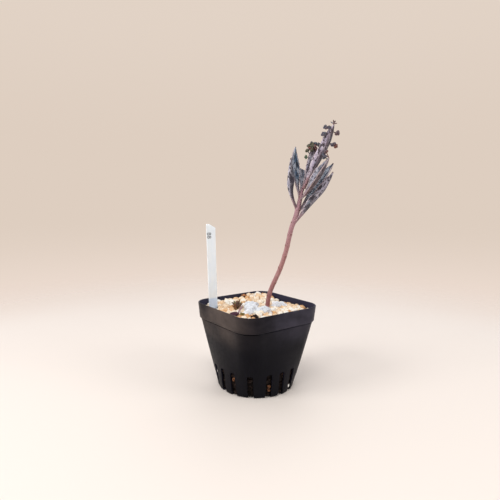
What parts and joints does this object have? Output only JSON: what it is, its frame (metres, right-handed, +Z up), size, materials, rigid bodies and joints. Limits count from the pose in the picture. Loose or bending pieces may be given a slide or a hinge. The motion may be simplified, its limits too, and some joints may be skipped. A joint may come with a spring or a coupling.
{
  "type": "potted mother of thousands",
  "caption": "Leggy young succulent with narrow channelled leaves and bulbils on their margins, standing in granular grit in a black square slit pot with a white plant label.",
  "frame": {"origin": "centre of the pot's underside, on the surface that it stands on", "axes": "+Z up; X and Y along the pot's square sides; the stem leans towards +X and -Y, 37 degrees from +X"},
  "size_m": [0.0904, 0.0806, 0.2067],
  "materials": {
    "pot_plastic": "satin",
    "potting_mix": "matte",
    "granules": "matte",
    "pumice": "matte",
    "label_plastic": "satin",
    "stem": "satin",
    "leaf": "satin",
    "plantlet": "satin",
    "fallen_leaf": "satin"
  },
  "bodies": {
    "root": {"pot": "pot_plastic", "potting_mix": "potting_mix", "top_dressing": "granules", "pumice_front": "pumice", "pumice_right": "pumice", "label": "label_plastic", "stem": "stem", "leaf_right_low": "leaf", "leaf_right": "leaf", "leaf_left": "leaf", "leaf_left_high": "leaf", "leaf_front": "leaf", "leaf_back": "leaf", "leaf_bulbils": "leaf", "leaf_tall": "leaf", "plantlet": "plantlet", "fallen_leaf": "fallen_leaf"}
  },
  "joints": []
}
